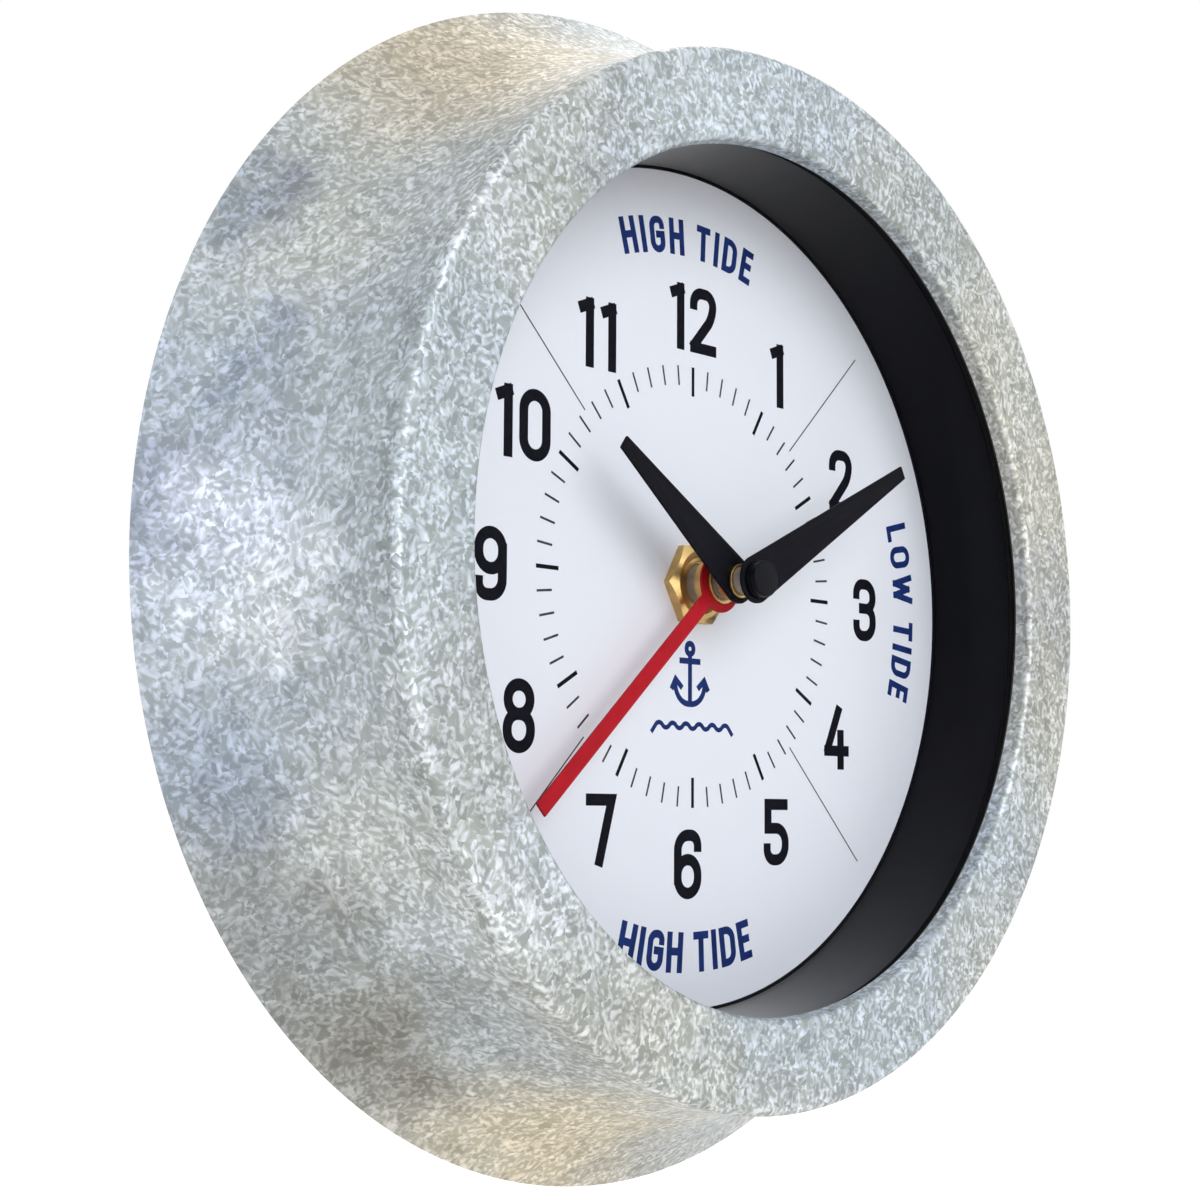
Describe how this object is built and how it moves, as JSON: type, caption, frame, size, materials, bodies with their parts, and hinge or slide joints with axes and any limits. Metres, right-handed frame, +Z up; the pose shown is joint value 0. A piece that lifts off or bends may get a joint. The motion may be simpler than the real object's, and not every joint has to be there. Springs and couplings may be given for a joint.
{
  "type": "tide clock",
  "caption": "Round wall clock in a flared zinc sheet case, with hour, minute and tide hands on a white dial behind a lens, and a quartz movement with a geared tide train.",
  "frame": {"origin": "centre of the case's rear rim, on the wall, on the axis of the hands", "axes": "+Z up towards twelve, the dial looks along -Y, +Y points into the wall, +X to the right seen from the front"},
  "size_m": [0.22, 0.0429, 0.22],
  "materials": {
    "zinc_sheet": "spangled galvanised sheet",
    "clear_glass": "clear",
    "black_plastic": "matt",
    "black_rubber": "matt",
    "white_dial": "matt printed",
    "zinc_plated_steel": "bright zinc plate",
    "brass": "turned",
    "grey_plastic": "satin",
    "white_plastic": "satin",
    "black_paint": "satin black",
    "red_paint": "satin red",
    "battery_sleeve": "gloss",
    "board": "solder mask",
    "copper_wire": "enamelled copper",
    "silicon_steel": "stamped",
    "magnet": "sintered",
    "nickel_steel": "nickel plate",
    "red_plastic": "satin"
  },
  "bodies": {
    "case": {"case_shell": "zinc_sheet", "case_studs": "zinc_plated_steel", "lens_gasket": "black_rubber", "lens": "clear_glass", "inner_ring": "black_plastic", "dial": "white_dial", "dial_carrier": "black_plastic", "stud_washers": "zinc_plated_steel", "stud_nuts": "zinc_plated_steel", "hanger_bracket": "zinc_plated_steel", "hanger_screws": "zinc_plated_steel", "movement_case": "black_plastic", "movement_front_plate": "black_plastic", "train_plate": "white_plastic", "threaded_bushing": "brass", "rubber_washer": "black_rubber", "hex_nut": "brass", "battery_contact_positive": "nickel_steel", "battery_contact_negative": "nickel_steel", "circuit_board": "board", "quartz_crystal": "nickel_steel", "controller_chip": "black_plastic", "coil_bobbin": "white_plastic", "coil_winding": "copper_wire", "coil_core": "silicon_steel", "stator": "silicon_steel"},
    "minute_arbor": {"minute_shaft": "zinc_plated_steel", "cannon_pinion": "brass", "clutch_washer": "zinc_plated_steel", "minute_hand": "black_paint", "minute_hand_bush": "brass", "minute_hand_cap": "black_plastic"},
    "reduction_wheel": {"reduction_wheel": "white_plastic"},
    "hour_arbor": {"hour_wheel": "grey_plastic", "hour_hand": "black_paint", "hour_hand_bush": "brass"},
    "tide_idler": {"tide_idler": "white_plastic"},
    "tide_arbor": {"tide_wheel": "grey_plastic", "tide_hand": "red_paint", "tide_hand_bush": "brass"},
    "time_setting_knob": {"time_setting_knob": "white_plastic"},
    "tide_setting_knob": {"tide_setting_knob": "red_plastic"},
    "rotor": {"rotor_magnet": "magnet", "rotor_pinion": "white_plastic"},
    "fifth_wheel": {"fifth_wheel": "white_plastic"},
    "seconds_wheel": {"seconds_wheel": "white_plastic"},
    "third_wheel": {"third_wheel": "white_plastic"},
    "centre_wheel": {"centre_wheel": "brass"},
    "battery": {"battery": "battery_sleeve"}
  },
  "joints": [
    {"name": "minute_spin", "type": "hinge", "parent": "case", "child": "minute_arbor", "pos_m": [0, 0, 0], "axis": [0, 1, 0], "continuous": true},
    {"name": "reduction_spin", "type": "hinge", "parent": "case", "child": "reduction_wheel", "pos_m": [0.00945, 0, -0.00167], "axis": [0, 1, 0], "continuous": true},
    {"name": "hour_spin", "type": "hinge", "parent": "case", "child": "hour_arbor", "pos_m": [0, 0, 0], "axis": [0, 1, 0], "continuous": true},
    {"name": "tide_idler_spin", "type": "hinge", "parent": "case", "child": "tide_idler", "pos_m": [-0.00171, 0, 0.00972], "axis": [0, 1, 0], "continuous": true},
    {"name": "tide_spin", "type": "hinge", "parent": "case", "child": "tide_arbor", "pos_m": [0, 0, 0], "axis": [0, 1, 0], "continuous": true},
    {"name": "time_knob_spin", "type": "hinge", "parent": "case", "child": "time_setting_knob", "pos_m": [0.01732, 0, 0.00384], "axis": [0, 1, 0], "continuous": true},
    {"name": "tide_knob_spin", "type": "hinge", "parent": "case", "child": "tide_setting_knob", "pos_m": [-0.00881, 0, -0.00321], "axis": [0, 1, 0], "continuous": true},
    {"name": "seconds_wheel_spin", "type": "hinge", "parent": "case", "child": "seconds_wheel", "pos_m": [-0.00491, 0, 0.01317], "axis": [0, 1, 0], "continuous": true},
    {"name": "rotor_spin", "type": "hinge", "parent": "case", "child": "rotor", "pos_m": [0.00875, 0, 0.01203], "axis": [0, 1, 0], "continuous": true},
    {"name": "fifth_wheel_spin", "type": "hinge", "parent": "case", "child": "fifth_wheel", "pos_m": [0.00218, 0, 0.01442], "axis": [0, 1, 0], "continuous": true},
    {"name": "third_wheel_spin", "type": "hinge", "parent": "case", "child": "third_wheel", "pos_m": [-0.00689, 0, 0.00579], "axis": [0, 1, 0], "continuous": true},
    {"name": "centre_wheel_spin", "type": "hinge", "parent": "case", "child": "centre_wheel", "pos_m": [0, 0, 0], "axis": [0, 1, 0], "continuous": true},
    {"name": "battery_pull", "type": "slide", "parent": "case", "child": "battery", "axis": [0, 1, 0], "range_m": [0, 0.03]}
  ],
  "couplings": [
    {"joint": "reduction_spin", "follows": "minute_spin", "ratio": -0.33333},
    {"joint": "hour_spin", "follows": "minute_spin", "ratio": 0.083333},
    {"joint": "tide_idler_spin", "follows": "minute_spin", "ratio": -0.11875},
    {"joint": "tide_spin", "follows": "minute_spin", "ratio": 0.040254},
    {"joint": "time_knob_spin", "follows": "minute_spin", "ratio": 1},
    {"joint": "tide_knob_spin", "follows": "minute_spin", "ratio": -0.14844},
    {"joint": "fifth_wheel_spin", "follows": "seconds_wheel_spin", "ratio": -5},
    {"joint": "rotor_spin", "follows": "seconds_wheel_spin", "ratio": 30},
    {"joint": "third_wheel_spin", "follows": "seconds_wheel_spin", "ratio": -0.13333},
    {"joint": "centre_wheel_spin", "follows": "seconds_wheel_spin", "ratio": 0.016667}
  ]
}
